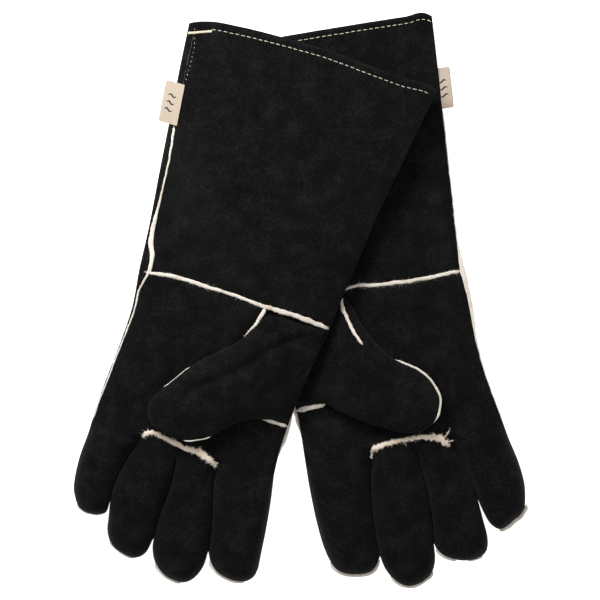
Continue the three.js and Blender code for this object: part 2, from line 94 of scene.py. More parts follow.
GLOVES = {
    "left": {
        "mirror": 1,
        "lifted": True,
        "outer": [(-121, -72.5), (-98, -72.5), (-56, -70), (-30, -69.5), (0, -73), (25, -75), (74, -80.5),
                  (108, -84), (156, -89), (196, -92.5)],
        "inner": [(-121, 67.5), (-95, 66), (-66, 67), (-34, 70), (0, 74), (22, 76), (62, 80), (102, 84),
                  (128, 88), (163, 93), (196, 98)],
        "wrist": [(-76, -2.2), (-64.7, -1.0), (-47, 1.9), (-22, 2.0), (4, 2.1), (22.4, 0.8), (48, 1.2),
                  (74, -0.9)],
        "mouth": [(-92.5, 182), (-88.7, 184.2), (-77.4, 188.2), (-56.5, 191), (-22.5, 193.1), (13, 194),
                  (46, 192.4), (71.5, 191.3), (92, 191.8), (98, 189.8)],
        "hem": 6.1,
        # the outer end of the CAD model's knuckle line, whose other points are the roots of the edges
        "outer_knuckle": (-72.5, -119),
        # creases between the fingers, and the outer edges of the little and index fingers, root to tip
        "edges": [
            [(-72.5, -119), (-72.7, -129), (-73.4, -146), (-72, -163), (-70, -171), (-66, -178)],
            [(-35.5, -121.5), (-38.9, -132), (-42, -146.5), (-43.2, -160), (-42, -171)],
            [(-5.5, -122), (-3.3, -142), (-3.7, -158), (-4.2, -173), (-3.2, -187)],
            [(25, -122), (26.2, -133), (34, -161), (37.5, -179), (38.2, -184)],
            [(67.5, -115.5), (71, -134), (74.1, -156), (75.8, -172), (77.2, -185)],
        ],
        # round each fingertip, from the end of one edge to the end of the next
        "tips": [
            [(-62.4, -181.8), (-56.5, -183.8), (-48.4, -182.8), (-42.6, -179.4)],
            [(-39.6, -182), (-37.4, -192), (-32, -200), (-24, -204), (-12.5, -205), (-6, -199.8)],
            [(-1.8, -194), (2.8, -203), (11.5, -210), (20, -212), (28.4, -211.2), (34.4, -205.6), (38, -196)],
            [(42.6, -191.6), (48, -196.2), (55, -198.4), (63.4, -199), (71.6, -196.6), (76, -191.5)],
        ],
        "thumb_top": [(71.5, -2.6), (48, -3), (27, -4.2), (21, -13), (15.5, -26), (2, -40), (-10, -51.3),
                      (-18, -62), (-26, -74), (-33, -84)],
        "thumb_low": [(65.6, -75.5), (57, -76.5), (46.6, -79.1), (38, -81.8), (28.5, -87.9), (20.9, -95.4),
                      (14, -102.4), (4.3, -108.2), (-6.3, -111.2), (-17, -110.6)],
        "thumb_tip": [(-36, -91), (-35.2, -98), (-31.2, -105), (-25.6, -109.2)],
        # soft folds on the thumb and its root: a line in plan, its width and its depth
        "thumb_folds": [([(62, -8), (42, -24), (20, -49), (8, -60), (-7, -72), (-12, -84), (-12, -96)],
                         3.4, 2.2),
                        ([(70, -34), (52, -52), (42, -70), (30, -84)], 5.0, 1.6),
                        ([(60, -18), (44, -18), (30, -14)], 2.6, 1.2)],
        "thumb_hinge": (14, -66),
        "thumb_turn": 33,
        # welts at the tips: start and end as shares of the outline, half width, and how far out
        "tip_welts": [[(0.42, 0.62, 0.6, 0.0)], [(0.42, 0.56, 0.7, 0.1)], [(0.41, 0.54, 1.1, 0.5)],
                      [(0.38, 0.56, 1.1, 0.5)]],
        "thumb_welts": [(0.415, 0.51, 0.3, 0.4), (0.724, 0.8, 0.5, 0.4)],
        # folds on the fingers: which finger, a line in plan, its width and its depth
        "finger_folds": [(1, [(-29, -115), (-31.5, -121), (-36, -129)], 1.2, 1.8),
                         (1, [(-17, -115), (-19, -124), (-24, -136)], 1.6, 0.8),
                         (2, [(4, -114), (3, -121), (0, -130)], 1.6, 1.8),
                         (2, [(12, -116), (15, -124), (17, -140)], 1.5, 1.3),
                         (2, [(20, -119), (21, -130), (22, -146)], 1.4, 1.5)],
        # the other welts: points in plan or x or y, and half widths at x or y
        "wrist_welt_start": 5.5,
        "wrist_welt": [(-78, 1.0), (-50, 1.4), (15, 1.25), (30, 1.6), (78, 1.5)],
        "wrist_whiskers": 0.3,
        "base_welt": [(-33, -118), (-30.5, -113.8), (-26, -112.3), (-14, -114), (0, -116), (14, -117),
                      (25, -122.5)],
        "base_widths": [(-33, 1.5), (-12, 1.6), (0, 1.8), (16, 2.4), (26, 1.6)],
        "loose_strands": [([(-29.6, -112.6), (-33.2, -114)], 0.5), ([(21.5, -119.5), (25.6, -119.6)], 0.35)],
        "thumb_seam": [(24.3, -0.2), (23.2, -5.9), (21.5, -13.6), (18.4, -19.6), (16, -24)],
        "thumb_seam_widths": [(-24, 0.2), (-19.6, 0.6), (-13.6, 1.05), (-5.9, 1.45), (0, 1.3)],
        "index_seam": [(66.4, -78.2), (55, -78.4), (44, -77.6)],
        "index_seam_width": 1.25,
        "seam_roll": 20,
        "label_at": 108,
        "label_caught": 5.4,
        "thumb_line_shift": 0,
        "welt_seed": 300,
        "finger_seed": 50,
        "thumb_seed": 90,
    },
    "right": {
        "mirror": -1,
        "lifted": False,
        "outer": [(-124, -87.8), (-117, -86.4), (-95, -82), (-77, -78.8), (-57, -76.8), (-23, -76.5),
                  (5, -74.8), (52, -76.5), (118, -80), (155, -82), (196, -84)],
        "inner": [(-121, 62.3), (-84, 62.3), (-66, 64), (-34, 68), (0, 74), (62, 81), (128, 90), (196, 98)],
        "wrist": [(-78, -1.2), (-61.5, -1.5), (-51, -2.2), (-32, -2.2), (-11.5, -1.3), (6, 0.6), (13, -0.7),
                  (74, 0)],
        "mouth": [(-84, 187.5), (-80, 190.2), (-63.7, 190.4), (10.8, 190.7), (60, 190.2), (94, 189.5),
                  (98, 187.5)],
        "hem": 5.2,
        "outer_knuckle": (-88, -117),
        "edges": [
            [(-86.4, -117), (-89, -130), (-93, -147), (-94.7, -162.5), (-94.1, -171), (-92.3, -181)],
            [(-47, -124), (-48.5, -131), (-52, -140), (-56, -153), (-58.2, -162), (-58.8, -169)],
            [(-18.5, -124.5), (-20.9, -138), (-23, -157), (-23.1, -179), (-21.3, -195)],
            [(13.5, -124.5), (17.3, -142.5), (19.5, -165), (19.8, -187), (19.2, -199)],
            [(62.3, -120.5), (62.4, -139), (61.4, -165.5), (59.4, -184), (57.4, -193)],
        ],
        "tips": [
            [(-88.5, -185.5), (-83, -188.8), (-77.5, -192.3), (-71.5, -194), (-65.5, -189.4), (-61.3, -179)],
            [(-60.2, -184), (-61.3, -200), (-58.6, -208.6), (-52, -212.4), (-45, -212.9), (-37, -211.3),
             (-28.2, -207), (-23.5, -202)],
            [(-20.6, -208), (-16.8, -217), (-10.7, -222), (-4, -224.2), (3, -224.3), (11.2, -218.5),
             (17, -208.6)],
            [(23.2, -206), (30.1, -209.9), (38.5, -209.6), (46.8, -207.6), (53.6, -202.2)],
        ],
        "thumb_top": [(71.5, -2.6), (42, -3), (17, -4), (10.5, -12), (4.4, -28.6), (-4.8, -45), (-15.4, -58),
                      (-25.7, -64), (-35.6, -72.5), (-41, -82)],
        "thumb_low": [(62.5, -78.5), (54, -80.5), (40.8, -81.5), (33, -87.5), (24, -93.5), (14, -99.7),
                      (4, -104.5), (-6, -109), (-15, -112), (-25.1, -113)],
        "thumb_tip": [(-43, -90), (-42, -97), (-38.6, -104), (-33, -110)],
        "thumb_folds": [([(34, -20), (16, -44), (-4, -62), (-24, -80)], 4.0, 1.6),
                        ([(58, -60), (40, -66), (18, -86)], 4.5, 1.5)],
        "thumb_hinge": (12, -67),
        "thumb_turn": 24,
        "tip_welts": [[(0.38, 0.56, 1.5, 1.0)], [(0.45, 0.51, 0.8, 0.3), (0.55, 0.64, 1.1, 0.6)],
                      [(0.42, 0.60, 1.2, 0.7)], [(0.39, 0.63, 1.3, 0.8)]],
        "thumb_welts": [(0.41, 0.64, 0.85, 0.4)],
        "finger_folds": [(1, [(-36, -121), (-37, -130), (-39, -143)], 1.5, 1.2),
                         (1, [(-24, -119), (-25, -127), (-27, -138)], 1.3, 0.9),
                         (2, [(-9, -118), (-10, -124), (-9, -130)], 1.8, 1.2),
                         (2, [(6, -119), (5.6, -128), (6, -140)], 1.3, 0.8)],
        "wrist_welt_start": 1.2,
        "wrist_welt": [(-78, 1.5), (-60, 1.3), (-15, 1.3), (6, 1.0), (15, 0.4)],
        "wrist_whiskers": 1.6,
        "base_welt": [(13.5, -122), (10.5, -119.3), (4, -118.3), (-12, -117), (-31, -118), (-38, -120.5),
                      (-44.5, -127)],
        "base_widths": [(-46, 1.7), (-38, 2.2), (-20, 1.2), (-10, 1.1), (6, 1.7), (15, 1.7)],
        "loose_strands": [([(-39, -121), (-43.5, -118.6), (-46.6, -114.4)], 0.35),
                          ([(-42, -123.4), (-48.6, -123.6)], 0.45), ([(12.6, -121), (13.6, -126.2)], 0.6)],
        "thumb_seam": [(15.2, -6.5), (16.9, -10.5), (15.4, -19.6), (13, -27.5), (10.6, -34.5), (6.6, -43)],
        "thumb_seam_widths": [(-43, 1.0), (-25, 1.2), (-10, 1.2), (-6, 0.7)],
        "index_seam": [(62.6, -83.0), (51, -82.3), (40, -81.4)],
        "index_seam_width": 1.75,
        "seam_roll": 2,
        "label_at": 119,
        "label_caught": 5.0,
        "thumb_line_shift": -7,
        "welt_seed": 400,
        "finger_seed": 90,
        "thumb_seed": 97,
    },
}
FINGERS = ["little", "ring", "middle", "index"]
JOINTS = {joint["name"]: joint for joint in frame["joints"]}


# ---- numbers and curves
def smooth(x, low, high):
    t = np.clip((np.asarray(x, float) - low) / (high - low), 0, 1)
    return t * t * (3 - 2 * t)


def mix(a, b, t):
    return a + (b - a) * t


class Stations:
    """A smooth function through (position, value) stations."""

    def __init__(self, stations):
        table = np.array(sorted(stations), float)
        self.x, self.y = table[:, 0], table[:, 1]
        self.slope = np.gradient(self.y, self.x)

    def __call__(self, x):
        x = np.clip(np.asarray(x, float), self.x[0], self.x[-1])
        k = np.clip(np.searchsorted(self.x, x) - 1, 0, len(self.x) - 2)
        step = self.x[k + 1] - self.x[k]
        t = (x - self.x[k]) / step
        a = self.y[k] * (2 * t**3 - 3 * t**2 + 1) + self.slope[k] * step * (t**3 - 2 * t**2 + t)
        b = self.y[k + 1] * (3 * t**2 - 2 * t**3) + self.slope[k + 1] * step * (t**3 - t**2)
        return a + b


def along(points, shares):
    """Points at the given shares of a smooth curve's length, or at this many even shares of it."""
    if isinstance(shares, int):
        shares = np.linspace(0, 1, shares)
    points = np.array(points, float)
    steps = np.maximum(np.linalg.norm(np.diff(points, axis=0), axis=1), 1e-6)
    at = np.concatenate([[0], np.cumsum(np.sqrt(steps))])
    fine = np.linspace(0, at[-1], 40 * len(points))
    curve = np.stack([Stations(list(zip(at, points[:, i])))(fine) for i in range(points.shape[1])], axis=1)
    length = np.concatenate([[0], np.cumsum(np.linalg.norm(np.diff(curve, axis=0), axis=1))])
    return np.stack([np.interp(np.asarray(shares) * length[-1], length, c) for c in curve.T], axis=1)


def distance_to(points, line):
    """Distance in plan from each point to a polyline."""
    best = np.full(len(points), 1e9)
    for p, q in zip(line[:-1], line[1:]):
        d = q - p
        t = np.clip(((points - p) @ d) / max(d @ d, 1e-9), 0, 1)
        best = np.minimum(best, np.hypot(*(points - p - t[:, None] * d).T))
    return best


def ripples(points, wavelength, seed, waves=9):
    """A smooth random field, about -1 to 1, as a sum of plane waves in space."""
    rng = np.random.default_rng(seed)
    field = np.zeros(len(points))
    for _ in range(waves):
        direction = rng.normal(size=3)
        direction /= np.linalg.norm(direction)
        k = 2 * math.pi / (wavelength * rng.uniform(0.6, 1.7))
        field += np.sin(points @ direction * k + rng.uniform(0, 2 * math.pi))
    return field / math.sqrt(waves)


# ---- one glove's shape
class Glove:
    """One glove's outline, heights and place, with everything from its row of GLOVES as attributes."""

    def __init__(self, side):
        self.side = side
        self.__dict__.update(GLOVES[side])
        self.outer_x, self.inner_x = Stations(self.outer), Stations(self.inner)
        self.wrist_line = Stations(self.wrist)
        self.mouth_line = Stations(self.mouth)
        self.knuckle_x = [edge[0][0] for edge in self.edges]
        self.knuckle_y = [edge[0][1] for edge in self.edges]
        self.body = f"{side}_glove"
        self.find_place()

    def find_place(self):
        """The glove's place in the row, from two of its finger hinges."""
        knuckles = [self.outer_knuckle] + [edge[0] for edge in self.edges[1:]]
        here, there = [], []
        for k in (0, 3):
            a, b = knuckles[k], knuckles[k + 1]
            here.append(((a[0] + b[0]) / 2 * self.mirror, (a[1] + b[1]) / 2))
            there.append(JOINTS[f"{self.side}_{FINGERS[k]}_curl"]["pos_m"])
        here, there = np.array(here), np.array(there)[:, :2] / MM
        angle = math.atan2(*(there[1] - there[0])[::-1]) - math.atan2(*(here[1] - here[0])[::-1])
        c, s = math.cos(angle), math.sin(angle)
        self.turn = np.array([[c, -s], [s, c]])
        self.at = there[0] - self.turn @ here[0]

    def ramp(self, x, y):
        """0 where the raised glove lies on the floor and 1 where it lies on the other glove."""
        along_ledge = LEDGE[1][0] * (x - LEDGE[0][0]) + LEDGE[1][1] * (y - LEDGE[0][1])
        return smooth(along_ledge, 5 - LIFT_RUN, 5) * smooth(y, -105, -30)

    def place(self, points):
        """From the glove's frame in millimetres to the row's frame in metres, raised over the other glove."""
        points = np.asarray(points, float).copy()
        if self.lifted:
            points[:, 2] += LIFT * self.ramp(points[:, 0], points[:, 1])
        plan = points[:, :2] * (self.mirror, 1)
        return np.column_stack([plan @ self.turn.T + self.at, points[:, 2]]) * MM

    def high(self, y):
        """Height of the palm side in the middle of the sleeve."""
        return HAND_THICK - 1.6 * smooth(y, -40, 40) + 1.6 * smooth(y, 80, 180)

    def low(self, y):
        """Height of the back in the middle of the sleeve."""
        return CUFF_LOW * smooth(y, 60, 150)

    def knuckle_line(self, x):
        return np.interp(x, self.knuckle_x, self.knuckle_y)

    def fullness(self, x, y):
        """1 in the middle of the sleeve's section and 0 at its side seams."""
        middle = (self.inner_x(y) + self.outer_x(y)) / 2
        half = (self.inner_x(y) - self.outer_x(y)) / 2
        share = np.clip(np.abs((x - middle) / half), 0, 1)
        return (1 - share**OVAL) ** (1 / OVAL)

    def valleys(self, x, y):
        """1 on the lines where the hand starts to part into fingers."""
        deep = np.zeros_like(x)
        for parting_x in self.knuckle_x[1:-1]:
            deep = np.maximum(deep, np.exp(-(((x - parting_x) / 4.5) ** 2)))
        return deep * (1 - smooth(y - self.knuckle_line(x), 0, 7))

    def middle_and_half(self, y, inset):
        """Height of the middle of the sleeve, and half its thickness."""
        high, low = self.high(y), self.low(y)
        return (high + low) / 2, (high - low) / 2 - inset

    def top(self, x, y, inset=0.0):
        """Height of the palm side."""
        middle, half = self.middle_and_half(y, inset)
        return middle + half * self.fullness(x, y) * (1 - VALLEY_DEPTH * self.valleys(x, y))

    def under(self, x, y, inset=0.0):
        """Height of the back, which lies flat on what is below."""
        middle, half = self.middle_and_half(y, inset)
        full = np.minimum(self.fullness(x, y) / OVAL_FLAT, 1) * (1 - VALLEY_DEPTH * self.valleys(x, y))
        return middle - half * full


# ---- meshes
def normals_of(grid):
    """Unit normals of a grid of points, smoothed so that a corner where points meet keeps its neighbours'."""
    n = np.cross(np.gradient(grid, axis=0), np.gradient(grid, axis=1))
    for axis in (0, 1):
        for _ in range(3):
            wide = np.concatenate([n.take([0], axis), n, n.take([-1], axis)], axis)
            count = n.shape[axis]
            n = (wide.take(range(count), axis) + 2 * n + wide.take(range(2, count + 2), axis)) / 4
    return n / np.maximum(np.linalg.norm(n, axis=2, keepdims=True), 1e-15)


def unit(vectors):
    return vectors / np.maximum(np.linalg.norm(vectors, axis=-1, keepdims=True), 1e-9)


def directions(path):
    """Unit vectors ahead along a path and level out to its side."""
    ahead = unit(np.gradient(path, axis=0))
    return ahead, unit(np.cross(ahead, (0.0, 0.0, 1.0)))


def end_taper(count, run, least):
    """1 along most of a path of this many points, falling towards the least share at each end."""
    from_end = np.minimum(np.arange(count), np.arange(count)[::-1])
    return np.minimum(1, from_end / run + least)


def in_scene(name, data, location=(0, 0, 0)):
    made = bpy.data.objects.new(name, data)
    made.location = location
    bpy.context.scene.collection.objects.link(made)
    return made


def make_object(name, vertices, faces, material, shade=True):
    mesh = bpy.data.meshes.new(name)
    mesh.from_pydata([tuple(v) for v in vertices], [], [tuple(f) for f in faces])
    mesh.materials.append(material)
    mesh.update()
    if shade:
        mesh.polygons.foreach_set("use_smooth", [True] * len(mesh.polygons))
    return in_scene(name, mesh)


def grid_faces(rows, columns, first, flip):
    i, j = np.meshgrid(np.arange(rows - 1), np.arange(columns - 1), indexing="ij")
    a = first + i * columns + j
    quads = np.stack([a, a + 1, a + columns + 1, a + columns], axis=-1).reshape(-1, 4)
    return quads[:, ::-1] if flip else quads


def thick_sheet(grid, thickness, up):
    """A leather or cloth sheet on a grid of points, as vertices and faces, closed all round.

    The grid is its face, and up says which way that face looks.
    """
    rows, columns = grid.shape[:2]
    n = normals_of(grid)
    facing = 1.0 if n[rows // 2, columns // 2, 2] * up > 0 else -1.0
    n *= facing
    depth = np.broadcast_to(np.asarray(thickness, float), grid.shape[:2])[..., None]
    vertices = np.concatenate([grid.reshape(-1, 3), (grid - n * depth).reshape(-1, 3)])
    count = rows * columns
    flip = facing < 0
    faces = [grid_faces(rows, columns, 0, flip), grid_faces(rows, columns, count, not flip)]
    index = np.arange(count).reshape(rows, columns)
    border = np.concatenate([index[0, :-1], index[:-1, -1], index[-1, :0:-1], index[:0:-1, 0]])
    around = len(border)
    vertices = np.concatenate([vertices, vertices[border], vertices[border + count]])
    here = 2 * count + np.arange(around)
    following = np.roll(here, -1)
    rim = np.stack([here, here + around, following + around, following], axis=1)
    faces.append(rim[:, ::-1] if flip else rim)
    return vertices, np.concatenate(faces)


def joined(parts):
    vertices, faces, offset = [], [], 0
    for v, f in parts:
        vertices.append(np.asarray(v))
        faces += [tuple(int(i) + offset for i in face) for face in f]
        offset += len(v)
    return np.concatenate(vertices), faces


def tube(path, width, height, sides=8, power=1.0, other=None):
    """A solid strip of oval section along a path.

    Width and height are half sizes at each point, and other is the half width on the left where it differs.
    A power under 1 squares the section.
    """
    path = np.asarray(path, float)
    ahead, side = directions(path)
    lift = np.cross(side, ahead)
    width = np.broadcast_to(width, len(path))[:, None]
    other = width if other is None else np.asarray(other)[:, None]
    height = np.broadcast_to(height, len(path))[:, None]
    rings = []
    for a in np.linspace(0, 2 * math.pi, sides, endpoint=False):
        across, high = (math.copysign(abs(v) ** power, v) for v in (math.cos(a), math.sin(a)))
        rings.append(path + side * (width if across > 0 else other) * across + lift * height * high)
    vertices = np.stack(rings, axis=1).reshape(-1, 3)
    faces = []
    for i in range(len(path) - 1):
        for j in range(sides):
            k = (j + 1) % sides
            faces.append((i * sides + j, i * sides + k, (i + 1) * sides + k, (i + 1) * sides + j))
    faces.append(tuple(range(sides))[::-1])
    faces.append(tuple((len(path) - 1) * sides + j for j in range(sides)))
    return vertices, faces


# ---- materials
class Look:
    """A procedural material on the object's own coordinates, whose methods add the nodes it needs."""

    def __init__(self, name, roughness):
        self.material = bpy.data.materials.new(name)
        self.material.use_nodes = True
        tree = self.material.node_tree
        self.nodes, self.links, self.shader = tree.nodes, tree.links, tree.nodes["Principled BSDF"]
        self.space = self.nodes.new("ShaderNodeTexCoord").outputs["Object"]
        self.set("Roughness", roughness)

    def set(self, socket, value):
        self.shader.inputs[socket].default_value = value

    def add(self, kind, values):
        """A node with these values in its sockets; a value can be another node's output."""
        made = self.nodes.new(kind)
        for socket, value in values.items():
            if isinstance(value, (int, float)):
                made.inputs[socket].default_value = value
            else:
                self.links.new(value, made.inputs[socket])
        return made

    def noise(self, scale, detail, roughness=0.6):
        values = {"Vector": self.space, "Scale": scale, "Detail": detail, "Roughness": roughness}
        return self.add("ShaderNodeTexNoise", values).outputs["Fac"]

    def wave(self, scale, distortion, direction="X"):
        values = {"Vector": self.space, "Scale": scale, "Distortion": distortion}
        made = self.add("ShaderNodeTexWave", values)
        made.bands_direction = direction
        return made.outputs["Fac"]

    def math(self, operation, a, b):
        made = self.add("ShaderNodeMath", {0: a, 1: b})
        made.operation = operation
        return made.outputs[0]

    def blend(self, a, b, share=0.5):
        """A mix of two values, with this share of the first."""
        return self.math("ADD", self.math("MULTIPLY", a, share), self.math("MULTIPLY", b, 1 - share))

    def paint(self, value, stops, sockets=("Base Color",)):
        """Colours the shader's sockets by a value, through (position, colour) stops."""
        made = self.add("ShaderNodeValToRGB", {"Fac": value})
        elements = made.color_ramp.elements
        elements[0].position, elements[0].color = stops[0][0], (*stops[0][1], 1)
        elements[1].position, elements[1].color = stops[-1][0], (*stops[-1][1], 1)
        for at, color in stops[1:-1]:
            elements.new(at).color = (*color, 1)
        for socket in sockets:
            self.links.new(made.outputs["Color"], self.shader.inputs[socket])

    def bump(self, height, distance, strength=1.0):
        made = self.add("ShaderNodeBump", {"Distance": distance, "Strength": strength, "Height": height})
        self.links.new(made.outputs["Normal"], self.shader.inputs["Normal"])


def grey(level):
    return (level, level, level)


def black_suede():
    look = Look("black_suede", 0.95)
    nap = look.noise(60, 6, 0.7)
    grain = look.noise(620, 3, 0.75)
    fibre = look.noise(1900, 2, 0.6)
    look.paint(look.blend(nap, grain), [(0.38, grey(0.0007)), (0.5, grey(0.0033)), (0.63, grey(0.0112))])
    look.set("Specular IOR Level", 0.1)
    look.set("Sheen Weight", 0.035)
    look.set("Sheen Roughness", 0.55)
    look.bump(look.blend(grain, fibre, 0.7), 0.0007, 0.8)
    return look.material


def welt_leather(name, low, middle, high):
    """Pale raw leather in three tones."""
    look = Look(name, 0.9)
    fibres = look.noise(900, 4, 0.7)
    patches = look.noise(120, 3, 0.5)
    look.paint(look.blend(fibres, patches), [(0.32, low), (0.46, middle), (0.60, high)])
    look.set("Sheen Weight", 0.25)
    look.set("Sheen Roughness", 0.5)
    look.bump(fibres, 0.0005, 0.8)
    return look.material


def thread_cotton():
    look = Look("hem_thread", 0.7)
    twist = look.wave(900, 1.5)
    look.paint(twist, [(0.1, (0.58, 0.52, 0.36)), (0.8, (0.86, 0.81, 0.66))])
    look.bump(twist, 0.0001)
    return look.material


def lining_cloth():
    look = Look("lining_cloth", 0.95)
    weave = look.math("MAXIMUM", look.wave(300, 0.6, "X"), look.wave(300, 0.6, "Y"))
    look.paint(weave, [(0.2, (0.33, 0.29, 0.22)), (0.8, (0.60, 0.55, 0.45))])
    look.bump(weave, 0.0003)
    return look.material


def label_tape():
    look = Look("label_tape", 0.85)
    twill = look.wave(420, 0.4, "DIAGONAL")
    look.paint(twill, [(0.15, (0.50, 0.41, 0.31)), (0.85, (0.66, 0.56, 0.45))])
    look.bump(twill, 0.00015)
    return look.material


def label_ink():
    look = Look("label_ink", 0.9)
    look.paint(look.noise(900, 2), [(0.3, grey(0.02)), (0.7, grey(0.06))])
    return look.material


SUEDE = black_suede()
WELT = welt_leather("welt_leather", (0.53, 0.42, 0.32), (0.77, 0.685, 0.59), (0.87, 0.82, 0.75))
# the frayed welts at the finger bases are warmer than the others, and painted brighter too: painted light
# that makes up for the shade the thumb casts on them
FRAYED_WELT_PAINTED_BRIGHT = welt_leather("frayed_welt_painted_bright", (0.80, 0.60, 0.42), (0.95, 0.80, 0.645), (1.0, 0.90, 0.775))
THREAD = thread_cotton()
LINING = lining_cloth()
LABEL = label_tape()
INK = label_ink()


def finish_piece(glove, name, parts, look, nodes=(), bend=None):
    """Makes a piece of a glove, hides the CAD parts that it stands in for, and ties it to the glove, or, when
    a bend is given, leaves it loose in the row's frame.
    """
    vertices, faces = joined(parts)
    made = make_object(f"{glove.side}_{name}", vertices, faces, look)
    if nodes:
        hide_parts(*[f"{glove.side}_{node}" for node in nodes])
    if bend:
        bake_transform(made)
    else:
        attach(made, glove.body)


# ---- leather panels of the cuff and hand
def creasing(x, y, seed):
    """Wrinkles and dents of soft leather, in millimetres, as a height to add."""
    points = np.stack([x.ravel(), y.ravel(), np.zeros(x.size)], axis=1)
    slow = ripples(points * (1, 0.6, 1), 55, seed)
    quick = ripples(points, 17, seed + 1)
    fine = ripples(points, 6, seed + 2)
    return (0.55 * slow + 0.16 * quick + 0.05 * fine).reshape(x.shape)


def panel(glove, start, end, last, rows, columns, palm, seed, inset=0.0):
    """A grid of points on the palm side or the back, from one line across the glove to another.

    The second line's ends lie at the two x values in last.
    """
    t = np.linspace(0, 1, rows)[:, None]
    # the outer seam rolls on to the palm side, by degrees of the section
    roll = glove.seam_roll * smooth(mix(start(0.0), end(sum(last) / 2), t), -62, 2)
    angle = mix(0.8 + roll if palm else 0.8 - roll, 178.4, np.linspace(0, 1, columns)[None, :])
    cosine = np.cos(np.radians(angle))
    shares = (1 - np.sign(cosine) * np.abs(cosine) ** (2 / OVAL)) / 2
    last_x = mix(*last, shares[-1:])
    last_y = end(last_x)
    y = mix(start(mix(glove.outer_x(0.0), glove.inner_x(0.0), shares[:1])), last_y, t)
    x = mix(glove.outer_x(y) + inset, glove.inner_x(y) - inset, shares)
    x += (last_x + inset * (1 - 2 * shares[-1:]) - x[-1:]) * t**4
    above = palm | (angle < 0)
    z = np.where(above, glove.top(x, y, inset), glove.under(x, y, inset))
    full = glove.fullness(x, y)
    rough = creasing(x, y, seed) * smooth(full, 0.3, 0.9) * smooth(y - glove.knuckle_line(x), 0, 9)
    z = z + (rough if palm else np.where(above, 0, 0.5 * np.minimum(rough, 0.3)))
    if not palm:
        z = np.maximum(z, glove.low(y) * smooth(full, 0, 1) + 0.02)
    return np.stack([x, y, z], axis=2)


def groove(grid, line_distance, depth, reach):
    """Sinks the palm side along a line, given each point's distance from it."""
    grid[..., 2] -= depth * np.exp(-((line_distance / reach) ** 2))


def sheet(glove, grid, thickness, up):
    """A sheet on a grid in the glove's frame, put in its place; the thickness is in millimetres."""
    return thick_sheet(glove.place(grid.reshape(-1, 3)).reshape(grid.shape), thickness * MM, up)


def placed(glove, parts):
    return [(glove.place(vertices), faces) for vertices, faces in parts]


def cuff(glove):
    foot = lambda x: glove.wrist_line(x) - 0.25
    lining_end = lambda x: glove.mouth_line(x) - 8
    mouth = (glove.outer_x(187), glove.inner_x(187))
    sock = []
    for which, up, seed in (("palm", 1, 11), ("back", -1, 12)):
        grid = panel(glove, foot, glove.mouth_line, mouth, 130, 120, up > 0, seed)
        x, y = grid[..., 0], grid[..., 1]
        from_mouth = glove.mouth_line(x) - y
        if up > 0:
            groove(grid, np.abs(y - glove.wrist_line(x)), 1.4, 2.4)
            groove(grid, np.abs(from_mouth - glove.hem), 0.5, 1.1)
            grid[..., 2] += 0.35 * smooth(glove.hem - from_mouth, 0, 2)
            groove(grid, from_mouth, 1.3, 1.1)
        thick = mix(SKIN, HEM_THICK, smooth(HEM_WIDTH - from_mouth, 0, 0.6))
        leather = sheet(glove, grid, thick, up)
        finish_piece(glove, f"cuff_{which}", [leather], SUEDE, [f"cuff_{which}_panel"])
        grid = panel(glove, foot, lining_end, mouth, 60, 60, up > 0, seed, LINING_INSET)
        sock.append(sheet(glove, grid, LINING_THICK, up))
    finish_piece(glove, "cuff_lining_cloth", sock, LINING, ["cuff_lining"])


def past_thumb_seam(glove, grid):
    """How far each point is to the thumb's side of the thumb-root seam on the palm."""
    seam = Stations([(-80, 30), (-66, 14), (-42, 11), (-25, 15), (-6, 21), (0, 23)])
    return grid[..., 0] - (seam(grid[..., 1]) + glove.thumb_line_shift)


def hand(glove):
    foot = lambda x: glove.wrist_line(x) - 0.05
    lining_end = lambda x: glove.knuckle_line(x) + 1
    knuckles = (glove.knuckle_x[0], glove.knuckle_x[-1])
    sock = []
    for which, up, seed in (("palm", 1, 21), ("back", -1, 22)):
        grid = panel(glove, foot, glove.knuckle_line, knuckles, 110, 160, up > 0, seed)
        lining = panel(glove, foot, lining_end, knuckles, 50, 60, up > 0, 31, LINING_INSET)
        if up > 0:
            x, y = grid[..., 0], grid[..., 1]
            past = past_thumb_seam(glove, grid)
            groove(grid, np.abs(y - glove.wrist_line(x)), 1.4, 2.4)
            under_root = smooth(past, 0, 5) * smooth(y, -79, -75)
            grid[..., 2] -= 3.2 * under_root * smooth(glove.fullness(x, y), 0.2, 0.6)
            groove(grid, np.abs(past) + 40 * (y < -50), 1.2, 3.0)
            lining[..., 2] -= 2.6 * smooth(past_thumb_seam(glove, lining) + 4, 0, 5)
        leather = sheet(glove, grid, SKIN, up)
        finish_piece(glove, f"{which}_leather", [leather], SUEDE, [f"{which}_panel"])
        sock.append(sheet(glove, lining, LINING_THICK, up))
    finish_piece(glove, "hand_lining_cloth", sock, LINING, ["hand_lining"])


# ---- fingers
def patch(edge_a, edge_b, tip, rows, columns):
    """A Coons patch between two edges that run from the root to the tip, and its outline."""
    tip = [edge_a[-1], *tip, edge_b[-1]]
    ahead = np.sin(np.linspace(0, 0.5 * math.pi, rows)) ** 1.15
    across = (1 - np.cos(np.linspace(0, math.pi, columns))) / 2
    a, b, end = along(edge_a, ahead), along(edge_b, ahead), along(tip, across)
    root = mix(np.array(edge_a[0], float)[None], np.array(edge_b[0], float)[None], across[:, None])
    ahead, across = ahead[:, None, None], across[None, :, None]
    side = (1 - across) * a[:, None] + across * b[:, None]
    ends = (1 - ahead) * root[None] + ahead * end[None]
    corners = ((1 - ahead) * ((1 - across) * a[0] + across * b[0])
               + ahead * ((1 - across) * a[-1] + across * b[-1]))
    outline = np.concatenate([along(edge_a, 60), along(tip, 60), along(edge_b, np.linspace(1, 0, 60))])
    return side + ends - corners, outline


def pillow(distance, reach, power=2.0):
    share = 1 - np.clip(distance / reach, 0, 1)
    return (1 - share**power) ** (1 / power)


